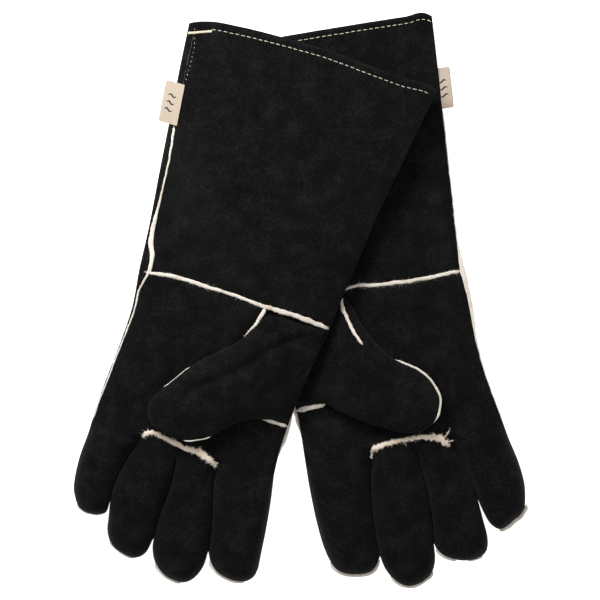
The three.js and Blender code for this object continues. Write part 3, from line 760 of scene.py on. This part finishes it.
def fold(plan, points, width, depth, steps, fade_run):
    """Depth of a soft fold along a line in plan, which fades out towards the line's end."""
    line = along(points, steps)
    fade = smooth(distance_to(plan, line[-1:].repeat(2, axis=0)), 0, fade_run)
    return depth * np.exp(-((distance_to(plan, line) / width) ** 2)) * fade


def finger_grids(glove, k, rows, columns, inset=0.0):
    """The palm side and the back of a finger or its lining, as grids of points, and its outline in plan."""
    plan, outline = patch(glove.edges[k], glove.edges[k + 1], glove.tips[k], rows, columns)
    flat = plan.reshape(-1, 2)
    centre_y = flat.mean(axis=0)[1]
    if inset:
        middle = np.repeat(plan.mean(axis=1), columns, axis=0)
        away = flat - middle
        size = np.maximum(np.linalg.norm(away, axis=1, keepdims=True), 1e-6)
        flat = middle + away * np.maximum(size - inset, 0) / size
        flat[:, 1] += inset * smooth(-(flat[:, 1] - centre_y), 0, 40)
    x, y = flat[:, 0], flat[:, 1]
    near = distance_to(plan.reshape(-1, 2), outline)
    shape = pillow(near, 14, 2.2)
    below = glove.knuckle_line(x) - y
    down = smooth(below, 0, 7)
    valley = VALLEY_DEPTH * glove.valleys(x, glove.knuckle_line(x))
    root = glove.fullness(x, np.maximum(y, -121)) * (1 - valley)
    full = mix(root, shape, down)
    half = MID - inset
    rough = creasing(x, y, glove.finger_seed + 7 * k) * smooth(full, 0.3, 0.95)
    knuckle_folds = 0.35 * np.sin(below / 4.2 + 0.6 * k + 0.05 * x) * np.exp(-(((below - 34) / 11) ** 2))
    folds = np.zeros_like(x)
    for owner, points, width, depth in glove.finger_folds:
        if owner == k:
            folds -= fold(flat, points, width, depth, 20, 12) * smooth(full, 0.2, 0.8)
    seam = MID - SEAM_DROP * down * smooth(-y, 118, 126)
    rough = (rough + knuckle_folds * smooth(full, 0.5, 1)) * smooth(below, 0, 8)
    top = seam + (MID + half - seam) * full + rough + folds * smooth(below, 0, 2)
    under = np.maximum(seam - (seam - MID + half) * np.minimum(full / OVAL_FLAT, 1), 0.02 + inset)
    front, back = (np.column_stack([x, y, z]).reshape(rows, columns, 3) for z in (top, under))
    return front, back, outline


def joint_bend(joint, reach):
    """The joint's two bodies, its point, and a point this far ahead of it, for a piece that crosses the
    joint.
    """
    data = JOINTS[joint]
    start = np.array(data["pos_m"], float)
    axis = np.array(data["axis"], float)
    ahead = np.cross((0, 0, 1), axis)
    return data["parent"], data["child"], tuple(start), tuple(start + ahead * reach * MM)


def finger(glove, k):
    name = FINGERS[k]
    bend = joint_bend(f"{glove.side}_{name}_curl", FINGER_BEND)
    top, under, outline = finger_grids(glove, k, 64, 44)
    finish_piece(glove, f"{name}_front", [sheet(glove, top, SKIN, 1)], SUEDE, [f"{name}_palm_side"], bend)
    finish_piece(glove, f"{name}_back", [sheet(glove, under, SKIN, -1)], SUEDE, [f"{name}_back_side"], bend)
    top, under, _ = finger_grids(glove, k, 24, 16, FINGER_LINING_INSET)
    sock = [sheet(glove, top, LINING_THICK, 1), sheet(glove, under, LINING_THICK, -1)]
    finish_piece(glove, f"{name}_lining_cloth", sock, LINING, [f"{name}_lining"], bend)
    return outline


# ---- thumb
def thumb_heights(glove, plan):
    """How far past the hinge points in plan are, and the heights of the thumb's edge and crest there."""
    turn = math.radians(glove.thumb_turn)
    past = (plan - np.array(glove.thumb_hinge, float)) @ np.array([-math.cos(turn), -math.sin(turn)])
    palm = glove.top(plan[:, 0], plan[:, 1]) + 0.9
    edge = mix(palm, THUMB_REST + THUMB_THICK / 2, smooth(past, -30, 4))
    crest = mix(palm, THUMB_REST + THUMB_THICK, smooth(past, -52, 2))
    return past, edge, crest


def thumb_grids(glove, rows, columns):
    """The palm side and the back of a thumb, its outline, and how far past the hinge each point is."""
    plan, outline = patch(glove.thumb_top, glove.thumb_low, glove.thumb_tip, rows, columns)
    flat = plan.reshape(-1, 2)
    x, y = flat[:, 0], flat[:, 1]
    past, edge, crest = thumb_heights(glove, flat)
    near = distance_to(flat, outline)
    shape = pillow(near, THUMB_ROUNDING)
    rough = creasing(x, y, glove.thumb_seed) * 1.2
    folds = np.zeros_like(x)
    for points, width, depth in glove.thumb_folds:
        folds += fold(flat, points, width, depth, 30, 30)
    tucked = 0.7 * (1 - smooth(near, 0, 3)) * (1 - smooth(past, -30, 4))
    top = edge + (crest - edge) * shape + (rough - folds) * smooth(near, 1, 12) - tucked
    under = edge - (edge - THUMB_REST - 0.1) * np.minimum(shape / OVAL_FLAT, 1)
    front, back = (np.column_stack([x, y, z]).reshape(rows, columns, 3) for z in (top, under))
    return front, back, outline, past


def thumb(glove):
    bend = joint_bend(f"{glove.side}_thumb_lift", THUMB_BEND)
    lines, columns = 110, 60
    top, under, outline, past = thumb_grids(glove, lines, columns)
    leather = sheet(glove, top, SKIN, 1)
    finish_piece(glove, "thumb_front", [leather], SUEDE, ["thumb_palm_side", "thumb_root"], bend)
    # the root has no underside: it is sewn to the palm
    free = int(np.argmax(past.reshape(lines, columns).min(axis=1) > -14))
    top, under = top[free:], under[free:]
    finish_piece(glove, "thumb_back", [sheet(glove, under, SKIN, -1)], SUEDE, ["thumb_back_side"], bend)
    centre = ((top + under) / 2).mean(axis=1, keepdims=True)
    sock = []
    for skin, up in ((top, 1), (under, -1)):
        grid = centre + (skin - centre) * (0.84, 0.84, 0.55)
        sock.append(sheet(glove, grid[::2, ::2], THUMB_LINING_THICK, up))
    finish_piece(glove, "thumb_lining_cloth", sock, LINING, ["thumb_lining"], bend)
    return outline


# ---- welts
def on_palm(glove, points, above):
    """A fine path over the palm side through points in plan."""
    length = np.sum(np.linalg.norm(np.diff(np.array(points, float), axis=0), axis=1))
    fine = along(points, max(8, int(length / 0.7)))
    return np.column_stack([fine, glove.top(fine[:, 0], fine[:, 1]) + above])


def frayed(glove, path, half_width, half_height, seed, fuzz, whiskers=0.0):
    """A pale leather welt: a strip of uneven width with short fibres standing out of its cut edges."""
    count = len(path)
    rng = np.random.default_rng(seed)
    edges = []
    for k in (0, 10):
        wobble = ripples(path, 7, seed + k) * 0.13 + ripples(path, 2.2, seed + k + 1) * 0.17 * fuzz
        edges.append(np.broadcast_to(half_width, count) * np.maximum(1 + wobble, 0.35))
    width, other = edges
    ends = end_taper(count, 5.0, 0.12)
    sway = [ripples(path, 9, seed + 2), ripples(path, 9, seed + 3), np.zeros(count)]
    path = path + np.column_stack(sway) * 0.16
    strip = tube(path, width * ends, half_height * ends, 12, 0.75, other * ends)
    ahead, side = directions(path)
    vertices, faces = [], []
    for i in range(count):
        for n in range(rng.poisson(4.0 * fuzz) + (rng.random() < 0.35 * whiskers)):
            sign = rng.choice((-1, 1))
            out = side[i] * sign + ahead[i] * rng.normal(0, 0.6) + np.array([0, 0, rng.normal(0, 0.2)])
            base = path[i] + side[i] * sign * (width if sign > 0 else other)[i] * ends[i] * 0.85
            near_end = 1 + 1.1 * math.exp(-min(i, count - 1 - i) / 3.0)
            length = rng.gamma(1.6, 0.28) * fuzz**0.5 * near_end
            across = ahead[i] * rng.uniform(0.07, 0.2)
            if n == 0 and rng.random() < 0.5 * whiskers:
                length, across, out = length + rng.uniform(0.8, 1.9), ahead[i] * 0.07, out + (0, 0, 0.4)
            bent = base + out * length * 0.6 + ahead[i] * rng.normal(0, 0.2)
            tip = base + out * length + ahead[i] * rng.normal(0, 0.35)
            first = len(vertices)
            vertices += [base - across, base + across, bent + across * 0.6, bent - across * 0.6, tip]
            faces += [(first, first + 1, first + 2, first + 3), (first + 3, first + 2, first + 4)]
    fibres = [(np.array(vertices), faces)] if vertices else []
    return placed(glove, [strip] + fibres)


def wrist_welts(glove):
    x = np.linspace(glove.outer_x(0) + glove.wrist_welt_start, glove.inner_x(0) - 0.8, 190)
    path = np.column_stack([x, glove.wrist_line(x), glove.top(x, 0 * x) - 0.55])
    width = Stations(glove.wrist_welt)(x)
    strip = frayed(glove, path, width, 0.7, glove.welt_seed, 0.7, whiskers=glove.wrist_whiskers)
    finish_piece(glove, "wrist_seam_front", strip, WELT, ["wrist_welt_palm"])
    x = np.linspace(glove.outer_x(0) + 2, glove.inner_x(0) - 2, 90)
    path = np.column_stack([x, glove.wrist_line(x), glove.under(x, 0 * x) + 0.75])
    strip = frayed(glove, path, 1.2, 0.7, glove.welt_seed + 5, 0.3)
    finish_piece(glove, "wrist_seam_back", strip, WELT, ["wrist_welt_back"])


def outer_welt(glove):
    """The outer side's welt: rolled on to the palm on the left-hand glove, on the edge of the other."""
    if glove.side == "left":
        y = np.linspace(108, -117, 320)
        inset = [(-117, 0.6), (-90, 1.2), (-57, 1.3), (-30, 2.4), (-14, 3.2), (-8.8, 4.9), (-0.7, 7.4),
                 (4, 8.0), (12, 7.4), (22, 4.2), (30, 3.6), (48, 4.2), (75, 5.4), (90, 5.4), (108, 4.2)]
        x = glove.outer_x(y) + Stations(inset)(y)
        z = glove.top(x, y) - 0.5
        widths = [(-117, 0.4), (-90, 0.6), (-30, 0.65), (-12, 0.8), (0, 1.15), (6, 1.6), (13, 1.9), (22, 2.0),
                  (34, 1.9), (42, 1.2), (50, 0.9), (108, 1.0)]
    else:
        y = np.linspace(117, -115, 320)
        x = glove.outer_x(y) - 0.15
        z = np.full(len(y), MID + 1.2)
        widths = [(-115, 0.3), (-60, 0.5), (-45, 0.9), (-20, 1.7), (4, 1.8), (12, 0.9), (40, 0.45),
                  (117, 0.4)]
    strip = frayed(glove, np.column_stack([x, y, z]), Stations(widths)(y), 0.95, glove.welt_seed + 10, 0.5)
    finish_piece(glove, "outer_seam", strip, WELT, ["outer_side_welt"])


def inner_welt(glove):
    y = np.linspace(-113, 180, 330)
    out = [(-113, -1.6), (-104, -1.2), (-94, 0.5), (-84, 0.9), (-76, 0.2), (-60, -1.4), (180, -1.4)]
    path = np.column_stack([glove.inner_x(y) + Stations(out)(y), y, np.full(len(y), MID - 1)])
    width = Stations([(-113, 0.5), (-100, 1.0), (-84, 1.5), (-76, 1.3), (-60, 0.6), (180, 0.6)])(y)
    strip = frayed(glove, path, width, 0.9, glove.welt_seed + 15, 0.25)
    finish_piece(glove, "inner_seam", strip, WELT, ["inner_side_welt"])


def finger_base_welt(glove):
    path = on_palm(glove, glove.base_welt, 0.45)
    width = Stations(glove.base_widths)(path[:, 0])
    strands = frayed(glove, path, width, 0.75, glove.welt_seed + 20, 1.8, whiskers=0.5)
    for i, (points, width) in enumerate(glove.loose_strands):
        strands += frayed(glove, on_palm(glove, points, 0.5), width, 0.35, glove.welt_seed + 40 + i, 0.8)
    # this welt's material is painted brighter, as painted light against the thumb's shade
    finish_piece(glove, "finger_seam", strands, FRAYED_WELT_PAINTED_BRIGHT, ["finger_base_welt"])


def thumb_base_welt(glove):
    """The welt over the thumb's root, which stands a little above the palm."""
    plan = along(glove.thumb_seam, 70)
    near = distance_to(plan, along(glove.thumb_top, 120))
    _, edge, crest = thumb_heights(glove, plan)
    path = np.column_stack([plan, edge + (crest - edge) * pillow(near, THUMB_ROUNDING) + 0.15])
    width = Stations(glove.thumb_seam_widths)(path[:, 1])
    strip = frayed(glove, path, width, 0.8, glove.welt_seed + 25, 0.4)
    finish_piece(glove, "thumb_seam", strip, WELT, ["thumb_base_welt"])


def index_base_welt(glove):
    path = on_palm(glove, glove.index_seam, 0.5)
    strip = frayed(glove, path, glove.index_seam_width, 0.8, glove.welt_seed + 30, 0.6)
    finish_piece(glove, "index_seam", strip, WELT)


def edge_welts(glove, name, outline, welts, z, seed, bend):
    """The welts that show along a finger's or thumb's outline."""
    for i, (start, end, half_width, out) in enumerate(welts):
        path = along(outline[::4], np.linspace(start, end, 70))
        ahead = np.gradient(path, axis=0)
        side = unit(np.column_stack([-ahead[:, 1], ahead[:, 0]]))
        if np.mean(np.sum((path - outline.mean(axis=0)) * side, axis=1)) < 0:
            side = -side
        path = np.column_stack([path + side * (out - 0.2), np.full(len(path), z)])
        strip = frayed(glove, path, half_width * end_taper(len(path), 9.0, 0.2), 0.9, seed + i, 0.05)
        finish_piece(glove, f"{name}_seam_{i + 1}", strip, WELT, bend=bend)


# ---- stitches and labels
def stitch_row(glove, path, stitch, gap, radius, sink=0.25):
    """Separate stitches along a path: each comes up out of the leather, runs along it and dives again."""
    length = np.concatenate([[0], np.cumsum(np.linalg.norm(np.diff(path, axis=0), axis=1))])
    parts, at = [], 0.3
    rng = np.random.default_rng(5)
    while at + stitch < length[-1]:
        shares = np.linspace(at, at + stitch * rng.uniform(0.9, 1.05), 7)
        points = np.stack([np.interp(shares, length, c) for c in path.T], axis=1)
        bow = np.sin(np.linspace(0, math.pi, 7))
        points[:, 2] += -sink * 2 + (sink * 2 + radius * 0.7) * np.minimum(1, bow * 1.8)
        points[:, :2] += rng.normal(0, 0.07, 2)
        parts.append(tube(points, radius, radius * 0.85, sides=6))
        at += stitch + gap
    return placed(glove, parts)


def hem_line(glove, from_outer, from_inner, height):
    """The hem's line of stitches on one side of the cuff, between these distances from the side seams."""
    x = np.linspace(glove.outer_x(182) + from_outer, glove.inner_x(182) - from_inner, 240)
    y = glove.mouth_line(x) - glove.hem
    return np.column_stack([x, y, height(x, y)])


def stitches(glove):
    front = hem_line(glove, 17 if glove.side == "left" else 1.2, 1.2, glove.top)
    back = hem_line(glove, 2.5, 2.5, glove.under)[::2]
    parts = stitch_row(glove, front, 2.8, 1.6, 0.3)
    parts += [(v, [f[::-1] for f in fs]) for v, fs in stitch_row(glove, back, 2.8, 1.6, 0.3, -0.1)]
    if glove.side == "left":
        x = np.linspace(glove.outer_x(178) + 0.8, glove.outer_x(178) + 17, 60)
        y = np.linspace(175.2, 181.6, 60)
        bar = np.column_stack([x, y, glove.top(x, y) + 0.35])
        zigzag = bar.copy()
        zigzag[:, 1] += 0.75 * np.sign(np.sin(np.arange(60) * 1.6))
        thick = 0.35 + 0.45 * smooth(x, x[15], x[30])
        parts += placed(glove, [tube(zigzag, 0.5, 0.45), tube(bar, thick, 0.4)])
        ys = np.linspace(180, 141, 80)
        xs = glove.outer_x(ys) + Stations([(141, 6.4), (155, 7.2), (167, 7.2), (180, 4.8)])(ys)
        row = np.column_stack([xs, ys, glove.top(xs, ys) + 0.15])
        parts += stitch_row(glove, row, 0.8, 2.6, 0.21)
    finish_piece(glove, "hem_stitches", parts, THREAD, ["hem_thread"])


def label(glove):
    """A cloth tab folded double, with its two ends caught in the outer side seam."""
    tall, wide = 30.2, 14.2
    y0, caught = glove.label_at, glove.label_caught
    on_top = glove.top(glove.outer_x(y0 + 15) + 5, y0 + 15) + 0.6
    root_z = on_top if glove.side == "left" else MID
    turn = np.linspace(-0.5 * math.pi, 0.5 * math.pi, 9)
    doubled = [(wide - 1.3 + 0.85 * math.cos(a), 0.75 * math.sin(a)) for a in turn]
    loop = [(-0.8, -0.75), (wide * 0.5, -0.72), *doubled, (wide * 0.5, 0.72), (-0.8, 0.75)]
    outline = along(loop, 60)
    rows = np.linspace(0, tall, 26)
    grid = np.zeros((len(rows), len(outline), 3))
    slope = glove.outer_x(y0) - glove.outer_x(y0 + tall)
    for i, r in enumerate(rows):
        corner = 0.9 * max(0, 1 - min(r, tall - r) / 1.6) ** 2
        out = outline[:, 0] - corner * (outline[:, 0] > wide * 0.6)
        grid[i, :, 0] = glove.outer_x(y0) + caught - r / tall * slope - out
        grid[i, :, 1] = y0 + r - 0.03 * outline[:, 0] + 0.02 * out
        grid[i, :, 2] = root_z + outline[:, 1] + 0.25 * math.sin(r / 7.0)
    finish_piece(glove, "tab", [sheet(glove, grid, 0.35, 1)], LABEL, ["label"])
    marks = []
    for lane in (-5.25, 0, 5.25):
        s = np.linspace(0, 1, 26)
        x = glove.outer_x(y0) + caught - 0.5 * slope - wide * 0.5 - 3.2 + 6.0 * s
        y = y0 + tall / 2 + lane + 0.9 * np.sin(s * 2 * math.pi) - 0.3
        z = root_z + 0.85 + 0.25 * np.sin((y - y0) / 7.0)
        marks.append(tube(np.column_stack([x, y, z]), 0.58 * (1 - 0.7 * np.abs(2 * s - 1) ** 3), 0.1))
    finish_piece(glove, "tab_mark", placed(glove, marks), INK)


# ---- assembly
for side in ("left", "right"):
    glove = Glove(side)
    cuff(glove)
    hand(glove)
    outlines = [finger(glove, k) for k in range(4)]
    thumb_outline = thumb(glove)
    wrist_welts(glove)
    outer_welt(glove)
    inner_welt(glove)
    finger_base_welt(glove)
    thumb_base_welt(glove)
    index_base_welt(glove)
    stitches(glove)
    label(glove)
    for k, outline in enumerate(outlines):
        bend = joint_bend(f"{side}_{FINGERS[k]}_curl", FINGER_BEND)
        edge_welts(glove, f"{FINGERS[k]}_tip", outline, glove.tip_welts[k], MID - 1.2, 500 + 10 * k, bend)
    bend = joint_bend(f"{side}_thumb_lift", THUMB_BEND)
    seam_z = THUMB_REST + THUMB_THICK / 2 + 1.0
    edge_welts(glove, "thumb_edge", thumb_outline, glove.thumb_welts, seam_z, 520, bend)


# ---- floor, lights and camera
def floor():
    look = Look("paper_floor", 1.0)
    look.paint(look.noise(3, 2), [(0.2, grey(0.985)), (0.8, grey(1.0))], ("Base Color", "Emission Color"))
    look.set("Emission Strength", 1.0)
    half = 3.0
    corners = [(half * x, half * y, -0.0004) for x, y in ((-1, -1), (1, -1), (1, 1), (-1, 1))]
    paper = make_object("floor", corners, [(0, 1, 2, 3)], look.material, shade=False)


def area_light(name, location, size, energy):
    """A rectangular light that looks at the origin."""
    data = bpy.data.lights.new(name, "AREA")
    data.shape = "RECTANGLE"
    data.size, data.size_y = size
    data.energy = energy
    made = in_scene(name, data, location)
    made.rotation_euler = Vector(-np.array(location)).to_track_quat("-Z", "Y").to_euler()


def camera():
    """Straight above the gloves, and far off, so that the view is nearly flat."""
    distance, field = 4.0, 0.4434
    data = bpy.data.cameras.new("camera")
    data.sensor_width = 36
    data.lens = data.sensor_width * distance / field
    data.clip_end = 20
    bpy.context.scene.camera = in_scene("camera", data, (0.00156, -0.00023, distance))


floor()
area_light("key", (-0.42, 0.68, 0.58), (0.5, 0.4), 10.5)
area_light("fill", (1.3, -0.3, 1.8), (1.2, 1.2), 9)
world = bpy.data.worlds.new("studio")
world.use_nodes = True
background = world.node_tree.nodes["Background"].inputs
background["Color"].default_value = (1, 1, 1, 1)
background["Strength"].default_value = 0.33
bpy.context.scene.world = world
bpy.context.scene.view_settings.view_transform = "Standard"
camera()
